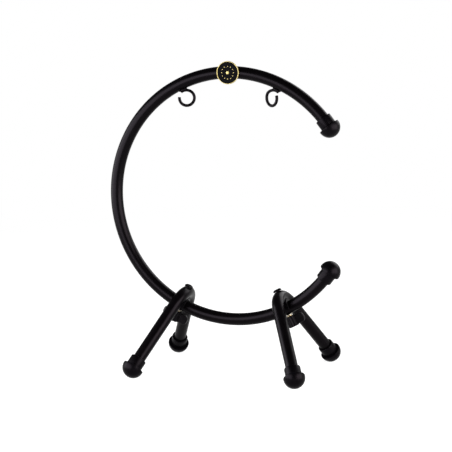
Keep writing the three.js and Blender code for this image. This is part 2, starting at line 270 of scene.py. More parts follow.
def turnedMetal(graph, look):
    rings = graph.node("ShaderNodeTexNoise", {"noise_dimensions": "1D"}, {
        "W": graph.turning("Y"), "Scale": look["ringScale"], "Detail": 3.0, "Roughness": 0.7,
    })
    cloud = graph.noise(graph.objectPlace(), look["cloudScale"], detail=4.0, roughness=0.6)
    tone = graph.spread(cloud * 0.6 + rings * 0.4, *look["toneRange"])
    skin = graph.bump(rings, look["ringDepth"], strength=0.6)
    return surface(graph, look, tone, cloud * 0.5 + rings * 0.5, skin, metallic=1.0)


enamelLook = {
    "tones": ((0.0010, 0.0010, 0.0011, 1), (0.0018, 0.0018, 0.0020, 1)),
    "toneRange": (0.5, 0.8),
    "roughness": (0.12, 0.18),
    "specular": 0.008,
    "tint": white,
    "speckScale": 1400,
    "waveScale": 90,
    "waveDepth": 0.01 * mm,
}


def glossEnamel(graph, look):
    place = graph.objectPlace()
    wave = graph.noise(place, look["waveScale"])
    speck = graph.noise(place, look["speckScale"], roughness=0.6)
    tone = graph.spread(speck, *look["toneRange"])
    skin = graph.bump(wave, look["waveDepth"], strength=0.5)
    return surface(graph, look, tone, wave, skin)


foamLook = {
    "tones": ((0.006, 0.006, 0.006, 1), (0.016, 0.016, 0.017, 1)),
    "toneRange": (0.1, 0.7),
    "roughness": (0.8, 0.95),
    "specular": 0.2,
    "tint": white,
    "cellScale": 1600,
    "cellDepth": 0.08 * mm,
}


def foamTape(graph, look):
    place = graph.objectPlace()
    cells = graph.node("ShaderNodeTexVoronoi", None, {"Vector": place, "Scale": look["cellScale"]})
    tone = graph.spread(cells, *look["toneRange"])
    skin = graph.bump(cells, look["cellDepth"], strength=0.8)
    return surface(graph, look, tone, cells, skin, roughRange=look["toneRange"])


finishes = {
    "powder_coat": finish("satin powder coat", powderCoat, powderCoatLook),
    "black_rubber": finish("cap rubber", capRubber, rubberLook),
    "moulded_plastic": finish("grained plastic", grainedPlastic, plasticLook),
    "black_bolt": finish("black oxide", blackOxide, oxideLook),
    "brass_insert": finish("turned brass", turnedMetal, brassLook),
    "zinc_washer": finish("zinc plate", turnedMetal, zincLook),
    "gold_trim": finish("gold plate", turnedMetal, goldLook),
    "badge_enamel": finish("gloss enamel", glossEnamel, enamelLook),
    "foam_tape": finish("foam tape", foamTape, foamLook),
}
print("finishes made:", len(finishes))


# Where the pieces go, from the frame's own joints: both clamp axes cross at the ring's centre

hands = {"left": -1, "right": 1}  # which way along X each lies
joints = {joint["name"]: joint for joint in frame["joints"]}
leftSeat = Vector(joints["knob_turn_left"]["pos_m"])
rightSeat = Vector(joints["knob_turn_right"]["pos_m"])
rightOutward = Vector(joints["knob_turn_right"]["axis"])
insertDistance = (rightSeat.x - leftSeat.x) / 2 / rightOutward.x
ringCentre = rightSeat - rightOutward * insertDistance
clampAngle = math.atan2(rightOutward.x, -rightOutward.z)


# a clamp's own frame: its -Z points from the ring's centre to the clamp
def clampFrame(side):
    return Matrix.Translation(ringCentre) @ Matrix.Rotation(-side * clampAngle, 4, "Y")


def towards(middle, axis):
    return Matrix.Translation(middle) @ axis.to_track_quat("Z", "Y").to_matrix().to_4x4()


# Mesh tools

mergeDistance = 0.0005 * mm


def limited(share):
    return max(0.0, min(1.0, share))


def newPiece(name, mesh):
    piece = bpy.data.objects.new(name, mesh)
    bpy.context.scene.collection.objects.link(piece)
    return piece


def meshPiece(name, corners, faces, edges=()):
    mesh = bpy.data.meshes.new(name)
    mesh.from_pydata(corners, edges, faces)
    return newPiece(name, mesh)


# merges doubles and points the faces outwards
def tidyMesh(piece):
    shape = bmesh.new()
    shape.from_mesh(piece.data)
    bmesh.ops.remove_doubles(shape, verts=shape.verts, dist=mergeDistance)
    bmesh.ops.recalc_face_normals(shape, faces=shape.faces)
    shape.to_mesh(piece.data)
    shape.free()


def bakeModifiers(piece):
    graph = bpy.context.evaluated_depsgraph_get()
    mesh = bpy.data.meshes.new_from_object(piece.evaluated_get(graph))
    piece.modifiers.clear()
    piece.data = mesh


def cut(piece, *cutters, operation="DIFFERENCE"):
    for cutter in cutters:
        knife = piece.modifiers.new("cut", "BOOLEAN")
        knife.operation = operation
        knife.solver = "EXACT"
        knife.object = cutter
    bakeModifiers(piece)
    for cutter in cutters:
        bpy.data.objects.remove(cutter)


# melts joined or cut shapes into one skin with soft edges, as a mould or a weld leaves them
def soften(piece, voxel, rounds):
    melt = piece.modifiers.new("melt", "REMESH")
    melt.mode = "VOXEL"
    melt.voxel_size = voxel
    relax = piece.modifiers.new("relax", "SMOOTH")
    relax.factor = 0.5
    relax.iterations = rounds
    bakeModifiers(piece)


def dress(piece, slot, body, *nodes, sharpAngle=40):
    piece.data.materials.clear()
    piece.data.materials.append(finishes[slot])
    piece.data.shade_smooth()
    piece.data.set_sharp_from_angle(angle=math.radians(sharpAngle))
    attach(piece, body)
    if nodes:
        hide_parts(*nodes)


# rows of (radius, height, fillet): each corner is rounded by its fillet
def filleted(rows, steps=5):
    line = []
    for i, (radius, height, fillet) in enumerate(rows):
        corner = Vector((radius, height))
        if fillet <= 0 or i in (0, len(rows) - 1):
            line.append(corner)
            continue
        before = (Vector(rows[i - 1][:2]) - corner).normalized()
        after = (Vector(rows[i + 1][:2]) - corner).normalized()
        half = before.angle(after) / 2
        reach = fillet / math.tan(half)
        middle = corner + (before + after).normalized() * fillet / math.sin(half)
        first = corner + before * reach - middle
        turn = first.angle_signed(corner + after * reach - middle)
        for step in range(steps + 1):
            line.append(middle + Matrix.Rotation(-turn * step / steps, 2) @ first)
    return line


# ring of corners about Z
def circle(radius, height, sides):
    angles = [2 * math.pi * k / sides for k in range(sides)]
    return [(radius * math.cos(angle), radius * math.sin(angle), height) for angle in angles]


# faces between rings of corners that follow each other in one list
def bands(ringCount, sides, first=0):
    faces = []
    for i in range(ringCount - 1):
        low, high = first + i * sides, first + (i + 1) * sides
        for k in range(sides):
            n = (k + 1) % sides
            faces.append((low + k, low + n, high + n, high + k))
    return faces


# turning holds the uv of each face's corners, in their order
def turnedMesh(name, corners, faces, turning, place):
    piece = meshPiece(name, corners, faces)
    layer = piece.data.uv_layers.new(name="turning")
    layer.data.foreach_set("uv", [number for pair in turning for number in pair])
    tidyMesh(piece)
    piece.data.transform(place)
    return piece


# turned solid about Z from a line of (radius, height) that starts and ends on the axis
def turnedPiece(name, line, sides, place):
    corners, rings = [], []
    for radius, height in line:
        loop = [(0, 0, height)] if radius < mergeDistance else circle(radius, height, sides)
        rings.append(range(len(corners), len(corners) + len(loop)))
        corners += loop
    lengths = [0.0]
    for a, b in zip(line, line[1:]):
        lengths.append(lengths[-1] + (Vector(b) - Vector(a)).length)
    faces, turning = [], []
    for i, (a, b) in enumerate(zip(rings, rings[1:])):
        low, high = lengths[i] / lengths[-1], lengths[i + 1] / lengths[-1]
        for k in range(sides):
            here, there = k / sides, (k + 1) / sides
            n = (k + 1) % sides
            if len(a) == 1:
                faces.append((a[0], b[n], b[k]))
                turning += [(here, low), (there, high), (here, high)]
            elif len(b) == 1:
                faces.append((a[k], a[n], b[0]))
                turning += [(here, low), (there, low), (here, high)]
            else:
                faces.append((a[k], a[n], b[n], b[k]))
                turning += [(here, low), (there, low), (there, high), (here, high)]
    return turnedMesh(name, corners, faces, turning, place)


# turned ring about Z: its section is a closed loop that doesn't touch the axis
def turnedRing(name, rows, sides, place):
    line = filleted([rows[-1], *rows, rows[0]], steps=4)[1:-1]
    count = len(line)
    corners, faces, turning = [], [], []
    for radius, height in line:
        corners += circle(radius, height, sides)
    for i in range(count):
        a, b = i * sides, (i + 1) % count * sides
        low, high = i / count, (i + 1) / count
        for k in range(sides):
            here, there = k / sides, (k + 1) / sides
            n = (k + 1) % sides
            faces.append((a + k, a + n, b + n, b + k))
            turning += [(here, low), (there, low), (there, high), (here, high)]
    return turnedMesh(name, corners, faces, turning, place)


# solid rod about Z between two heights, as a cutter
def rod(radius, low, high, place, sides=64):
    line = [Vector((0, low)), Vector((radius, low)), Vector((radius, high)), Vector((0, high))]
    return turnedPiece("rod", line, sides, place)


# Geometry Nodes: a tree with named inputs, and a piece that grows from a few points through one

def newTree(name, inputs):
    tree = bpy.data.node_groups.new(name, "GeometryNodeTree")
    for label, kind in inputs.items():
        tree.interface.new_socket(label, in_out="INPUT", socket_type="NodeSocket" + kind)
    tree.interface.new_socket("Geometry", in_out="OUTPUT", socket_type="NodeSocketGeometry")
    graph = Graph(tree)
    source = tree.nodes.new("NodeGroupInput")
    given = {socket.name: Wire(graph, socket) for socket in source.outputs if socket.name}
    return graph, given


def endTree(graph, shape, material):
    whole = graph.node("GeometryNodeRealizeInstances", None, {"Geometry": shape})
    painted = graph.node("GeometryNodeSetMaterial", None, {"Geometry": whole, "Material": material})
    graph.node("NodeGroupOutput", None, {"Geometry": painted})
    return graph.tree


def grownPiece(name, points, edges, tree, values):
    piece = meshPiece(name, points, [], edges)
    growth = piece.modifiers.new("growth", "NODES")
    growth.node_group = tree
    for item in tree.interface.items_tree:
        if item.item_type == "SOCKET" and item.in_out == "INPUT" and item.name in values:
            growth[item.identifier] = values[item.name]
    bakeModifiers(piece)
    return piece


# Tubes and wires: a round section swept along a path, with its corners bent to a radius or left

def sweepTree(name, bends):
    graph, given = newTree(name, {
        "Geometry": "Geometry", "Radius": "Float", "Sides": "Int", "Closed Ends": "Bool",
        "Bend Radius": "Float", "Bend Steps": "Int", "Finish": "Material",
    })
    path = graph.node("GeometryNodeMeshToCurve", None, {"Mesh": given["Geometry"]})
    if bends:
        path = graph.node("GeometryNodeFilletCurve", {"mode": "POLY"}, {
            "Curve": path, "Count": given["Bend Steps"], "Radius": given["Bend Radius"],
        })
    section = graph.node("GeometryNodeCurvePrimitiveCircle", {"mode": "RADIUS"}, {
        "Resolution": given["Sides"], "Radius": given["Radius"],
    })
    swept = graph.node("GeometryNodeCurveToMesh", None, {
        "Curve": path, "Profile Curve": section, "Fill Caps": given["Closed Ends"],
    })
    return endTree(graph, swept, given["Finish"])


straightSweep = sweepTree("sweep along a path", bends=False)
bentSweep = sweepTree("sweep along a bent path", bends=True)


def sweptPiece(name, path, radius, sides, closed, bendRadius=0.0, bendSteps=0):
    points = [tuple(point) for point in path]
    edges = [(i, i + 1) for i in range(len(path) - 1)]
    piece = grownPiece(name, points, edges, bentSweep if bendRadius else straightSweep, {
        "Radius": radius, "Sides": sides, "Closed Ends": closed,
        "Bend Radius": bendRadius, "Bend Steps": bendSteps, "Finish": finishes["powder_coat"],
    })
    tidyMesh(piece)
    return piece


def giveWall(piece, wall):
    solid = piece.modifiers.new("wall", "SOLIDIFY")
    solid.thickness = wall
    solid.offset = -1
    solid.use_even_offset = True
    bakeModifiers(piece)


# Ring. In every piece's settings, overrun is how far a cutter runs past what it cuts.

tube = {"radius": 12.5 * mm, "wall": 1.5 * mm, "sides": 64}
tubePastDome = 2.2 * mm
holeRadius = 4.5 * mm
ring = {"radius": 250 * mm, "endAngle": math.radians(35.2), "steps": 264}
cap = {
    "domeRadius": 21.7 * mm, "domeSteps": 22, "sides": 96,
    "rim": 1.4 * mm, "rimRound": 0.7 * mm,
    "grooveWidth": 1.3 * mm, "grooveDepth": 1.3 * mm, "edgeRound": 0.3 * mm,
    "sleeveWall": 3.8 * mm, "sleeveLength": 21.5 * mm, "mouthRound": 1.5 * mm,
    "socketPastDome": 2.5 * mm, "grip": 0.05 * mm,
}


def ringPoint(angle):
    return ringCentre + Vector((math.cos(angle), 0, math.sin(angle))) * ring["radius"]


def makeRing():
    start = ring["endAngle"] - tubePastDome / ring["radius"]
    turn = 2 * math.pi - start - start
    path = [ringPoint(start + turn * i / ring["steps"]) for i in range(ring["steps"] + 1)]
    piece = sweptPiece("ringTube", path, tube["radius"], tube["sides"], closed=False)
    giveWall(piece, tube["wall"])
    far = ring["radius"] + 2 * tube["radius"]
    near = ring["radius"] - 2 * tube["radius"]
    cut(piece, *[rod(holeRadius, -far, -near, clampFrame(side)) for side in hands.values()])
    dress(piece, "powder_coat", "stand", "ring_tube")


# rubber cap about Z: the dome's middle is at zero and its crown points up
def makeCap(name, node, place):
    grip = tube["radius"] + cap["grip"]
    sleeve = tube["radius"] + cap["sleeveWall"]
    neck = sleeve - cap["grooveDepth"]
    mouth, rim = -cap["sleeveLength"], -cap["rim"]
    groove = rim - cap["grooveWidth"]
    line = filleted([
        (0, cap["socketPastDome"], 0),
        (grip, cap["socketPastDome"], 0),
        (grip, mouth, cap["edgeRound"]),
        (sleeve, mouth, cap["mouthRound"]),
        (sleeve, groove, cap["edgeRound"]),
        (neck, groove, cap["edgeRound"]),
        (neck, rim, cap["edgeRound"]),
        (cap["domeRadius"], rim, cap["rimRound"]),
        (cap["domeRadius"], 0, 0),
    ])
    for i in range(1, cap["domeSteps"]):
        angle = math.pi / 2 * i / cap["domeSteps"]
        line.append(Vector((math.cos(angle), math.sin(angle))) * cap["domeRadius"])
    line.append(Vector((0, cap["domeRadius"])))
    piece = turnedPiece(name, line, cap["sides"], place)
    for corner in piece.data.vertices:
        corner.co.z = max(corner.co.z, 0.0)  # the small flat that a foot stands on
    dress(piece, "black_rubber", "stand", node)


makeRing()
for word, endSign in (("upper", 1), ("lower", -1)):
    domeAngle = endSign * ring["endAngle"]
    mouthAngle = domeAngle + endSign * cap["sleeveLength"] / ring["radius"]
    capAxis = ringPoint(domeAngle) - ringPoint(mouthAngle)
    makeCap(f"ringCap.{word}", f"ring_cap_{word}", towards(ringPoint(domeAngle), capAxis))
print("ring and its caps made")


# Legs

leg = {
    "topDistance": 223.4 * mm, "splay": math.radians(34.3), "bendRadius": 50 * mm, "bendSteps": 44,
    "footDistance": 373.3 * mm, "seatDepth": 0.8 * mm, "seatRadius": 9.5 * mm, "overrun": 5 * mm,
}


# foot's place in a clamp's frame, at the dome's middle and a little further along the tube
def footPoint(ySign, further=0.0):
    sine, cosine = math.sin(leg["splay"]), math.cos(leg["splay"])
    bendY = leg["bendRadius"] * cosine
    bendDown = leg["topDistance"] + leg["bendRadius"] * (1 - sine)
    straight = (leg["footDistance"] - bendDown) / cosine + further
    return Vector((0, ySign * (bendY + sine * straight), -bendDown - cosine * straight))


def legTube(name, side, radius, closed):
    apex = leg["topDistance"] + leg["bendRadius"] * (1 - 1 / math.sin(leg["splay"]))
    points = [footPoint(-1, tubePastDome), Vector((0, 0, -apex)), footPoint(1, tubePastDome)]
    path = [clampFrame(side) @ point for point in points]
    return sweptPiece(name, path, radius, tube["sides"], closed, leg["bendRadius"], leg["bendSteps"])


def makeLeg(word, side):
    piece = legTube(f"legTube.{word}", side, tube["radius"], closed=False)
    giveWall(piece, tube["wall"])
    top = tube["radius"] - leg["topDistance"]
    bottom = -leg["topDistance"] - tube["radius"]
    place = clampFrame(side)
    hole = rod(holeRadius, bottom - leg["overrun"], top + leg["overrun"], place)
    seat = rod(leg["seatRadius"], top - leg["seatDepth"], top + leg["overrun"], place)
    cut(piece, hole, seat)
    dress(piece, "powder_coat", "stand", f"leg_{word}", sharpAngle=14)
    for end, ySign in (("front", -1), ("back", 1)):
        middle = place @ footPoint(ySign)
        axis = place.to_3x3() @ (footPoint(ySign, 1.0) - footPoint(ySign))
        makeCap(f"footCap.{word}.{end}", f"foot_cap_{word}_{end}", towards(middle, axis))


# Saddle: a moulded U over the ring tube's inner half, with a bed for the leg across its back.
# It is moulded a little closer to the tubes than its solid, whose gap sets its outer skin.

saddle = {
    "length": 24 * mm, "wall": 5 * mm, "flank": 4 * mm, "gap": 0.12 * mm, "solidGap": 0.3 * mm,
    "steps": 10, "arcSteps": 28, "voxel": 0.34 * mm, "softening": 4,
}


def makeSaddle(word, side):
    inner = tube["radius"] + saddle["gap"]
    outer = tube["radius"] + saddle["solidGap"] + saddle["wall"]
    arc = [math.pi * i / saddle["arcSteps"] for i in range(saddle["arcSteps"] + 1)]
    outline = [(-outer, saddle["flank"])]
    outline += [(-outer * math.cos(a), -outer * math.sin(a)) for a in arc]
    outline += [(outer, saddle["flank"]), (inner, saddle["flank"])]
    outline += [(inner * math.cos(a), -inner * math.sin(a)) for a in arc]
    outline += [(-inner, saddle["flank"])]
    place = clampFrame(side)
    half = saddle["length"] / 2 / ring["radius"]
    corners = []
    for i in range(saddle["steps"] + 1):
        angle = half * (2 * i / saddle["steps"] - 1)
        outward = Vector((math.sin(angle), 0, -math.cos(angle)))
        for across, beyond in outline:
            corners.append(place @ (outward * (ring["radius"] + beyond) + Vector((0, across, 0))))
    count = len(outline)
    faces = bands(saddle["steps"] + 1, count)
    faces.append(tuple(range(count)))
    faces.append(tuple(range(saddle["steps"] * count, (saddle["steps"] + 1) * count)))
    piece = meshPiece(f"saddleBlock.{word}", corners, faces)
    tidyMesh(piece)
    bed = legTube("bed", side, tube["radius"] + saddle["gap"], closed=True)
    hole = rod(holeRadius, -ring["radius"], -leg["topDistance"], place)
    cut(piece, bed, hole)
    soften(piece, saddle["voxel"], saddle["softening"])
    dress(piece, "moulded_plastic", "stand", f"saddle_{word}", sharpAngle=70)


# Clamp bolt: low domed head with a hexagon socket, and a shank threaded at its end. The underside
# and the end are given from the ring's centre. The head's own short neck laps the rest of the shank.

bolt = {
    "radius": 4 * mm, "underside": 211.4 * mm, "end": 281.4 * mm, "sides": 64,
    "head": 9 * mm, "headHeight": 4.8 * mm, "rim": 1.2 * mm, "rimRound": 0.3 * mm,
    "flat": 4.6 * mm, "domeSteps": 10, "headSides": 96,
    "neck": 6 * mm, "neckRound": 0.4 * mm, "shankTop": 5 * mm,
    "hexKey": 5 * mm, "hexDepth": 2.6 * mm, "leadInShare": 0.98, "leadInDepth": 0.35 * mm,
    "leadInSides": 48, "overrun": 2 * mm,
    "threadLength": 22 * mm, "threadMargin": 1 * mm, "pitch": 1.25 * mm, "rowsPerPitch": 9,
    "threadDepth": 0.62 * mm, "grooveSlope": 1.25, "crest": 0.06, "runOut": 1.6 * mm,
    "taperLength": 0.9 * mm, "taperDepth": 0.8 * mm,
}


def threadRadius(height, angle):
    fromEnd = bolt["end"] + height
    fromStart = bolt["threadLength"] - fromEnd
    fade = limited(fromStart / bolt["runOut"])
    wave = abs(2 * ((height / bolt["pitch"] - angle / (2 * math.pi)) % 1.0) - 1)
    groove = limited(bolt["grooveSlope"] * wave - bolt["crest"]) * fade
    taper = max(0.0, 1 - fromEnd / bolt["taperLength"]) * bolt["taperDepth"]
    return bolt["radius"] - max(groove * bolt["threadDepth"], taper)


# arc of the head's dome, from its rim to its flat middle
def headDome(top):
    drop = bolt["headHeight"] - bolt["rim"]
    spread = bolt["head"] - bolt["flat"]
    radius = (spread * spread + drop * drop) / (2 * drop)
    points = []
    for i in range(bolt["domeSteps"] + 1):
        angle = math.asin(spread / radius) * (1 - i / bolt["domeSteps"])
        points.append((bolt["flat"] + radius * math.sin(angle), top - radius * (1 - math.cos(angle)), 0))
    return points


def headPiece(name, place):
    under = -bolt["underside"]
    top = under + bolt["headHeight"]
    line = filleted([
        (0, under - bolt["neck"], 0),
        (bolt["radius"], under - bolt["neck"], 0),
        (bolt["radius"], under, bolt["neckRound"]),
        (bolt["head"], under, bolt["rimRound"]),
        *headDome(top),
        (0, top, 0),
    ], steps=6)
    piece = turnedPiece(name, line, bolt["headSides"], place)
    hexRadius = bolt["hexKey"] / 2 / math.cos(math.pi / 6)
    past = top + bolt["overrun"]
    socket = rod(hexRadius, top - bolt["hexDepth"], past, place, sides=6)
    leadInRadius = hexRadius * bolt["leadInShare"]
    leadIn = rod(leadInRadius, top - bolt["leadInDepth"], past, place, bolt["leadInSides"])
    cut(piece, socket, leadIn)
    return piece


def shankPiece(place):
    length = bolt["threadLength"] + 2 * bolt["threadMargin"]
    rows = int(bolt["rowsPerPitch"] * length / bolt["pitch"])
    bottom = -bolt["end"]
    start = bottom + bolt["threadLength"] + bolt["threadMargin"]
    heights = [bottom + (start - bottom) * i / rows for i in range(rows + 1)]
    heights.append(-bolt["underside"] - bolt["shankTop"])
    corners = [place @ Vector((0, 0, bottom))]
    for height in heights:
        for k in range(bolt["sides"]):
            angle = 2 * math.pi * k / bolt["sides"]
            radius = threadRadius(height, angle)
            corners.append(place @ Vector((radius * math.cos(angle), radius * math.sin(angle), height)))
    corners.append(place @ Vector((0, 0, heights[-1])))
    count, last = bolt["sides"], len(corners) - 1
    faces = []
    for k in range(count):
        n = (k + 1) % count
        faces.append((0, 1 + n, 1 + k))
        faces.append((last - count + k, last - count + n, last))
        for low in range(1, last - count, count):
            faces.append((low + k, low + n, low + count + n, low + count + k))
    piece = meshPiece("shank", corners, faces)
    tidyMesh(piece)
    return piece


def makeBolt(word, side):
    place = clampFrame(side)
    piece = headPiece(f"clampBolt.{word}", place)
    cut(piece, shankPiece(place), operation="UNION")
    dress(piece, "black_bolt", "stand", f"clamp_bolt_{word}", sharpAngle=32)


# Washer, wing knob and threaded insert

washer = {
    "near": 262.8 * mm, "thickness": 1.6 * mm, "radius": 8 * mm, "hole": 4.4 * mm,
    "round": 0.25 * mm, "sides": 96,
}
insert = {
    "length": 14 * mm, "radius": 5.5 * mm, "bore": 4.2 * mm, "chamfer": 0.5 * mm,
    "topRound": 0.25 * mm, "endRound": 0.2 * mm, "sides": 72,
}
knob = {
    "hub": 11 * mm, "hubNear": 266.3 * mm, "hubHeight": 23 * mm, "sides": 128,
    "flutes": 8, "fluteDepth": 1.4 * mm, "farRound": 1.6 * mm, "nearRound": 0.96 * mm, "roundSteps": 7,
    "span": 56 * mm, "wingHeight": 20 * mm, "wingThickness": 7 * mm, "wingInset": 1.5 * mm,
    "wingCorner": 8 * mm, "cornerSteps": 12, "wingEdge": 1.9 * mm, "edgeSegments": 5,
    "boreDepth": 20.4 * mm, "insertGap": 0.05 * mm, "pastInsert": 0.3 * mm, "overrun": 3 * mm,
    "voxel": 0.34 * mm, "softening": 5,
}


def makeWasher(word, side):
    top, bottom = -washer["near"], -washer["near"] - washer["thickness"]
    piece = turnedRing(f"knobWasher.{word}", [
        (washer["hole"], bottom, washer["round"]),
        (washer["radius"], bottom, washer["round"]),
        (washer["radius"], top, washer["round"]),
        (washer["hole"], top, washer["round"]),
    ], washer["sides"], clampFrame(side))
    dress(piece, "zinc_washer", f"washer_{word}", f"knob_washer_{word}")


def makeInsert(word, side):
    top, bottom = -insertDistance, -insertDistance - insert["length"]
    piece = turnedRing(f"knobInsert.{word}", [
        (insert["bore"], bottom, insert["endRound"]),
        (insert["radius"], bottom, insert["endRound"]),
        (insert["radius"], top, insert["topRound"]),
        (insert["bore"], top, insert["chamfer"]),
    ], insert["sides"], clampFrame(side))
    dress(piece, "brass_insert", f"knob_{word}", f"knob_insert_{word}")


# fluted hub, with rounded edges at both ends
def hubPiece(name, place):
    near, far = -knob["hubNear"], -knob["hubNear"] - knob["hubHeight"]
    rows = filleted([
        (0, far, 0),
        (knob["hub"], far, knob["farRound"]),
        (knob["hub"], near, knob["nearRound"]),
        (0, near, 0),
    ], knob["roundSteps"])
    corners = []
    for radius, height in rows:
        for k in range(knob["sides"]):
            angle = 2 * math.pi * k / knob["sides"]
            flute = knob["fluteDepth"] / 2 * (1 - math.cos(knob["flutes"] * angle))
            fluted = max(radius * (knob["hub"] - flute) / knob["hub"], 0.0)
            corners.append(place @ Vector((fluted * math.cos(angle), fluted * math.sin(angle), height)))
    piece = meshPiece(name, corners, bands(len(rows), knob["sides"]))
    tidyMesh(piece)
    return piece


# both wings as one slab with rounded corners and edges
def wingsPiece(place):
    top = -knob["hubNear"] - knob["wingInset"]
    bottom = top - knob["wingHeight"]
    reach, corner = knob["span"] / 2, knob["wingCorner"]
    outline = []
    for x, z, start in ((reach - corner, bottom + corner, -90), (reach - corner, top - corner, 0),
                        (corner - reach, top - corner, 90), (corner - reach, bottom + corner, 180)):
        for step in range(knob["cornerSteps"] + 1):
            angle = math.radians(start + 90 * step / knob["cornerSteps"])
            outline.append((x + corner * math.cos(angle), z + corner * math.sin(angle)))
    half = knob["wingThickness"] / 2
    count = len(outline)
    corners = [place @ Vector((x, y, z)) for y in (-half, half) for x, z in outline]
    faces = [tuple(range(count)), tuple(range(2 * count - 1, count - 1, -1))]
    piece = meshPiece("wings", corners, faces + bands(2, count))
    tidyMesh(piece)
    bevel = piece.modifiers.new("round edges", "BEVEL")
    bevel.width = knob["wingEdge"]
    bevel.segments = knob["edgeSegments"]
    bevel.limit_method = "ANGLE"
    bevel.angle_limit = math.radians(60)
    bakeModifiers(piece)
    return piece


def makeKnob(word, side):
    place = clampFrame(side)
    piece = hubPiece(f"wingKnob.{word}", place)
    cut(piece, wingsPiece(place), operation="UNION")
    soften(piece, knob["voxel"], knob["softening"])
    near = -knob["hubNear"]
    deep = -insertDistance - insert["length"] - knob["pastInsert"]
    pocket = rod(insert["radius"] + knob["insertGap"], deep, near + knob["overrun"], place)
    clearance = rod(holeRadius, near - knob["boreDepth"], near, place)
    cut(piece, pocket, clearance)
    dress(piece, "moulded_plastic", f"knob_{word}", f"wing_knob_{word}", sharpAngle=50)


for word, side in hands.items():
    makeLeg(word, side)
    makeSaddle(word, side)
    makeBolt(word, side)
    makeWasher(word, side)
    makeInsert(word, side)
    makeKnob(word, side)
    print(word, "leg and its clamp made")


# Hooks: wire loops, each welded under the ring by a short rippled bead. Angles along the wire are
# from the loop's top, outwards, in degrees; the wire's start is set back from the loop to the tube.

hook = {
    "leans": {"left": 24.6, "right": 23.8}, "ends": {"left": 82.5, "right": 69.7},
    "start": 42.9, "bendEnd": -60, "twist": math.radians(31.9),
    "setback": 7.7 * mm, "forward": 5.4 * mm, "tubeGap": 0.75 * mm,
    "wire": 3 * mm, "loop": 15.35 * mm, "steps": 140, "sides": 48,
    "voxel": 0.3 * mm, "softening": 5,
}
bead = {
    "lumps": 7, "length": 14 * mm, "along": 2.5 * mm, "across": 4.2 * mm, "high": 3.3 * mm,
    "taper": 0.45, "outOfTube": 0.3, "fineness": 4,
}


def ellipsoid(name, middle, radii, place):
    shape = bmesh.new()
    bmesh.ops.create_icosphere(shape, subdivisions=bead["fineness"], radius=1)
    for corner in shape.verts:
        corner.co = place @ (middle + radii * corner.co)
    mesh = bpy.data.meshes.new(name)
    shape.to_mesh(mesh)
    shape.free()
    return newPiece(name, mesh)


def wirePoint(side, centre, angle):
    sine, cosine = math.sin(hook["twist"]), math.cos(hook["twist"])
    bend = limited((angle - hook["bendEnd"]) / (hook["start"] - hook["bendEnd"]))
    outwards = hook["loop"] * math.sin(math.radians(angle))
    backwards = hook["setback"] * bend * bend * (3 - 2 * bend)
    return centre + Vector((
        side * (outwards * cosine + backwards * sine),
        backwards * cosine - outwards * sine,
        hook["loop"] * math.cos(math.radians(angle)),
    ))


def makeHook(word, side):
    lean = side * math.radians(hook["leans"][word])
    under = ring["radius"] - tube["radius"]
    distance = under - hook["tubeGap"] - hook["wire"] - hook["loop"]
    centre = ringCentre + Vector((math.sin(lean) * distance, -hook["forward"], math.cos(lean) * distance))
    turn = 360 + hook["start"] - hook["ends"][word]
    angles = [hook["start"] - turn * i / hook["steps"] for i in range(hook["steps"] + 1)]
    path = [wirePoint(side, centre, angle) for angle in angles]
    piece = sweptPiece(f"hookWire.{word}", path, hook["wire"], hook["sides"], closed=True)
    middle = wirePoint(side, centre, hook["start"] / 2) - ringCentre
    lumps = []
    for i in range(bead["lumps"]):
        share = 2 * i / (bead["lumps"] - 1) - 1
        size = 1 - bead["taper"] * share * share
        angle = math.atan2(middle.x, middle.z) + share * bead["length"] / 2 / ring["radius"]
        place = Matrix.Translation(ringCentre) @ Matrix.Rotation(angle, 4, "Y")
        radii = Vector((bead["along"], bead["across"] * size, bead["high"] * size))
        spot = Vector((0, middle.y * size, under - bead["outOfTube"] * bead["high"] * size))
        lumps.append(ellipsoid("lump", spot, radii, place))
    cut(piece, *lumps, operation="UNION")
    soften(piece, hook["voxel"], hook["softening"])
    dress(piece, "powder_coat", "stand", f"hook_{word}", sharpAngle=70)


for word, side in hands.items():
    makeHook(word, side)
print("hooks made")


# Badge: gold-rimmed plate, gloss face with a circle of beads round a boss, and a foam pad behind

badge = {
    "radius": 23 * mm, "standoff": 1.6 * mm, "sides": 128,
    "base": 1.2 * mm, "rimWidth": 1.4 * mm, "rimHeight": 1.2 * mm,
    "backRound": 0.3 * mm, "rimRound": 0.6 * mm, "innerRound": 0.45 * mm, "panRound": 0.15 * mm,
    "faceThickness": 0.7 * mm, "faceCrown": 0.3 * mm, "faceSteps": 14, "gap": 0.1 * mm,
}
marks = {
    "beads": 12, "circle": 12.6 * mm, "beadRadius": 0.85 * mm, "bossRadius": 3.2 * mm, "press": 0.17,
    "beadSides": 20, "bossSides": 40,
}
pad = {
    "width": 30 * mm, "height": 17 * mm, "across": 24, "up": 12,
    "plateGap": 0.1 * mm, "ringGap": 0.05 * mm,
}
panRadius = badge["radius"] - badge["rimWidth"]
faceBack = badge["base"] + badge["gap"]

# the badge's own frame: its +Z points out of its face, and its back is at zero
badgeBack = ringCentre + Vector((0, -tube["radius"] - badge["standoff"], ring["radius"]))
badgeFrame = Matrix.Translation(badgeBack) @ Matrix.Rotation(math.pi / 2, 4, "X")


def faceHeight(radius):
    return faceBack + badge["faceThickness"] + badge["faceCrown"] * (1 - (radius / panRadius) ** 2)


def makePlate():
    front = badge["base"] + badge["rimHeight"]
    plate = turnedPiece("badgePlate", filleted([
        (0, 0, 0),
        (badge["radius"], 0, badge["backRound"]),
        (badge["radius"], front, badge["rimRound"]),
        (panRadius, front, badge["innerRound"]),
        (panRadius, badge["base"], badge["panRound"]),
        (0, badge["base"], 0),
    ], steps=6), badge["sides"], badgeFrame)
    dress(plate, "gold_trim", "stand", "badge_plate")


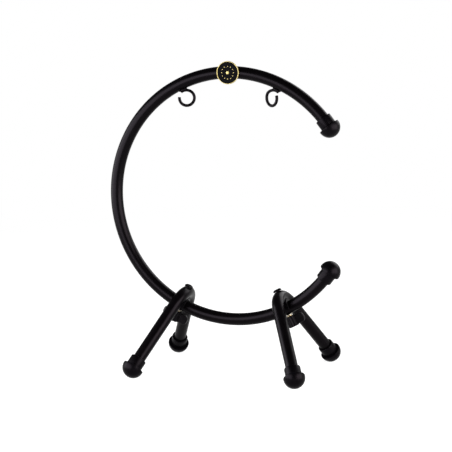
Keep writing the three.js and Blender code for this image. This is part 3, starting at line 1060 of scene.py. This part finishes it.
def makeFace():
    edge = panRadius - badge["gap"]
    line = [Vector((0, faceBack)), Vector((edge, faceBack))]
    for i in range(badge["faceSteps"]):
        radius = edge * (1 - i / badge["faceSteps"])
        line.append(Vector((radius, faceHeight(radius))))
    line.append(Vector((0, faceHeight(0))))
    face = turnedPiece("badgeFace", line, badge["sides"], badgeFrame)
    dress(face, "badge_enamel", "stand", "badge_face")


def marksTree():
    graph, given = newTree("badge marks", {
        "Geometry": "Geometry", "Beads": "Int", "Circle Radius": "Float",
        "Bead Radius": "Float", "Boss Radius": "Float", "Finish": "Material",
    })

    def ball(sides, radius):
        sockets = {"Segments": sides, "Rings": sides // 2, "Radius": radius}
        return graph.node("GeometryNodeMeshUVSphere", None, sockets)

    around = graph.node("GeometryNodeCurvePrimitiveCircle", {"mode": "RADIUS"}, {
        "Resolution": given["Beads"], "Radius": given["Circle Radius"],
    })
    spots = graph.node("GeometryNodeCurveToPoints", {"mode": "EVALUATED"}, {"Curve": around})
    beads = graph.node("GeometryNodeInstanceOnPoints", None, {
        "Points": spots, "Instance": ball(marks["beadSides"], given["Bead Radius"]),
    })
    boss = ball(marks["bossSides"], given["Boss Radius"])
    joined = graph.node("GeometryNodeJoinGeometry", None, {0: [beads, boss]})
    return endTree(graph, joined, given["Finish"])


# a circle of beads round a boss, pressed low and laid on the domed face
def makeMarks():
    piece = grownPiece("badgeMarks", [(0, 0, 0)], [], marksTree(), {
        "Beads": marks["beads"], "Circle Radius": marks["circle"], "Bead Radius": marks["beadRadius"],
        "Boss Radius": marks["bossRadius"], "Finish": finishes["gold_trim"],
    })
    for corner in piece.data.vertices:
        radius = math.hypot(corner.co.x, corner.co.y)
        corner.co.z = faceHeight(radius) + corner.co.z * marks["press"]
    piece.data.transform(badgeFrame)
    dress(piece, "gold_trim", "stand")


# foam pad: flat in front, hollowed behind to the ring tube
def makePad():
    across, up = pad["across"], pad["up"]
    hollow = tube["radius"] + pad["ringGap"]
    depth = tube["radius"] + badge["standoff"]
    front, back = [], []
    for i in range(across + 1):
        for k in range(up + 1):
            x = pad["width"] * (i / across - 0.5)
            y = pad["height"] * (k / up - 0.5)
            ringDrop = ring["radius"] - math.sqrt(ring["radius"] ** 2 - x ** 2)
            front.append((x, y, -pad["plateGap"]))
            back.append((x, y, math.sqrt(hollow ** 2 - (y + ringDrop) ** 2) - depth))
    row, size = up + 1, len(front)
    faces = []
    for i in range(across):
        for k in range(up):
            a = i * row + k
            faces.append((a, a + 1, a + row + 1, a + row))
            faces.append((size + a, size + a + row, size + a + row + 1, size + a + 1))
    rim = [i * row for i in range(across)] + [across * row + k for k in range(up)]
    rim += [i * row + up for i in range(across, 0, -1)] + list(range(up, 0, -1))
    for a, b in zip(rim, rim[1:] + rim[:1]):
        faces.append((a, b, size + b, size + a))
    piece = meshPiece("badgePad", front + back, faces)
    tidyMesh(piece)
    piece.data.transform(badgeFrame)
    dress(piece, "foam_tape", "stand", "badge_pad")


makePlate()
makeFace()
makeMarks()
makePad()
print("badge made")


# Floor, lamps and camera

studio = {
    "floorRadius": 30.0, "middleRadius": 1.0, "wallHeight": 5.3, "floorSides": 96,
    "floorColour": 0.30, "floorGlow": 0.80, "glowNear": 0.7, "glowFar": 2.6,
    "bounce": 0.55, "sky": 0.16,
}
lamps = {
    "left softbox": {"azimuth": -48, "elevation": 7.8, "distance": 1.5, "size": (2.75, 1.08), "power": 92,
                     "colour": (0.96, 0.97, 1.0)},
    "right softbox": {"azimuth": 74, "elevation": 7.8, "distance": 1.5, "size": (1.73, 1.08), "power": 60,
                      "colour": (1.0, 0.97, 0.95)},
    "back panel": {"azimuth": 150, "elevation": 30, "distance": 2.4, "size": (2.2, 1.6), "power": 56,
                   "colour": (1.0, 1.0, 1.0)},
}
cameraView = {
    "azimuth": 19.29, "elevation": 7.81, "roll": -0.70, "distance": 3.4915, "lens": 137.7,
    "aim": Vector((-0.0129, 0, -0.0596)), "clipEnd": 200,
}


# what the camera, gloss and glass see is near white; what lights the object is plain pale paint
def paleFloor(graph, look):
    def grey(level):
        return (level, level, level, 1)

    def glowing(strength):
        return graph.node("ShaderNodeEmission", None, {"Color": white, "Strength": strength})

    eye = graph.node("ShaderNodeLightPath", output="Is Camera Ray")
    gloss = graph.node("ShaderNodeLightPath", output="Is Glossy Ray")
    glass = graph.node("ShaderNodeLightPath", output="Is Transmission Ray")
    seen = graph.maths("MINIMUM", eye + gloss + glass, 1.0)
    place = graph.objectPlace()
    away = graph.node("ShaderNodeVectorMath", {"operation": "LENGTH"}, {0: place}, output="Value")
    fade = graph.node("ShaderNodeMapRange", {"interpolation_type": "SMOOTHSTEP"}, {
        "Value": away, "From Min": look["glowNear"], "From Max": look["glowFar"],
    })
    lit = graph.node("ShaderNodeBsdfDiffuse", None, {"Color": grey(look["floorColour"])})
    near = graph.node("ShaderNodeAddShader", None, {0: lit, 1: glowing(look["floorGlow"])})
    shown = graph.node("ShaderNodeMixShader", None, {0: fade, 1: near, 2: glowing(1.0)})
    paint = graph.node("ShaderNodeBsdfDiffuse", None, {"Color": grey(look["bounce"])})
    return graph.node("ShaderNodeMixShader", None, {0: seen, 1: paint, 2: shown})


# a disc, a wide ring round it and a low wall
def makeFloor():
    sides, far = studio["floorSides"], studio["floorRadius"]
    corners = [(0, 0, 0)]
    for radius, height in ((studio["middleRadius"], 0), (far, 0), (far, studio["wallHeight"])):
        corners += circle(radius, height, sides)
    faces = [(0, 1 + k, 1 + (k + 1) % sides) for k in range(sides)]
    faces += [face[::-1] for face in bands(3, sides, first=1)]
    floor = meshPiece("floor", corners, faces)
    floor.data.materials.append(finish("pale floor", paleFloor, studio))


def aimFrom(azimuth, elevation):
    a, e = math.radians(azimuth), math.radians(elevation)
    return Vector((math.sin(a) * math.cos(e), -math.cos(a) * math.cos(e), math.sin(e)))


def makeLamps():
    for name, lamp in lamps.items():
        light = bpy.data.lights.new(name, "AREA")
        light.shape = "RECTANGLE"
        light.size, light.size_y = lamp["size"]
        light.energy = lamp["power"]
        light.color = lamp["colour"]
        holder = bpy.data.objects.new(name, light)
        back = aimFrom(lamp["azimuth"], lamp["elevation"])
        holder.matrix_world = towards(ringCentre + back * lamp["distance"], back)
        holder.visible_camera = False
        bpy.context.scene.collection.objects.link(holder)


def makeCamera():
    back = aimFrom(cameraView["azimuth"], cameraView["elevation"])
    right = Vector((0, 0, 1)).cross(back).normalized()
    turn = Matrix((right, back.cross(right), back)).transposed()
    turn = turn @ Matrix.Rotation(math.radians(cameraView["roll"]), 3, "Z")
    camera = bpy.data.cameras.new("camera")
    camera.lens = cameraView["lens"]
    camera.clip_end = cameraView["clipEnd"]
    holder = bpy.data.objects.new("camera", camera)
    place = ringCentre + cameraView["aim"] + back * cameraView["distance"]
    holder.matrix_world = Matrix.Translation(place) @ turn.to_4x4()
    bpy.context.scene.collection.objects.link(holder)
    bpy.context.scene.camera = holder


# a dim ceiling over the pale floor and its wall
def makeWorld():
    world = bpy.data.worlds.new("dim room")
    world.use_nodes = True
    graph = Graph(world.node_tree)
    room = graph.node("ShaderNodeBackground", None, {"Color": white, "Strength": studio["sky"]})
    graph.node("ShaderNodeOutputWorld", None, {"Surface": room})
    bpy.context.scene.world = world


makeFloor()
makeLamps()
makeCamera()
makeWorld()
bpy.context.scene.view_settings.view_transform = "Standard"
print("studio made")
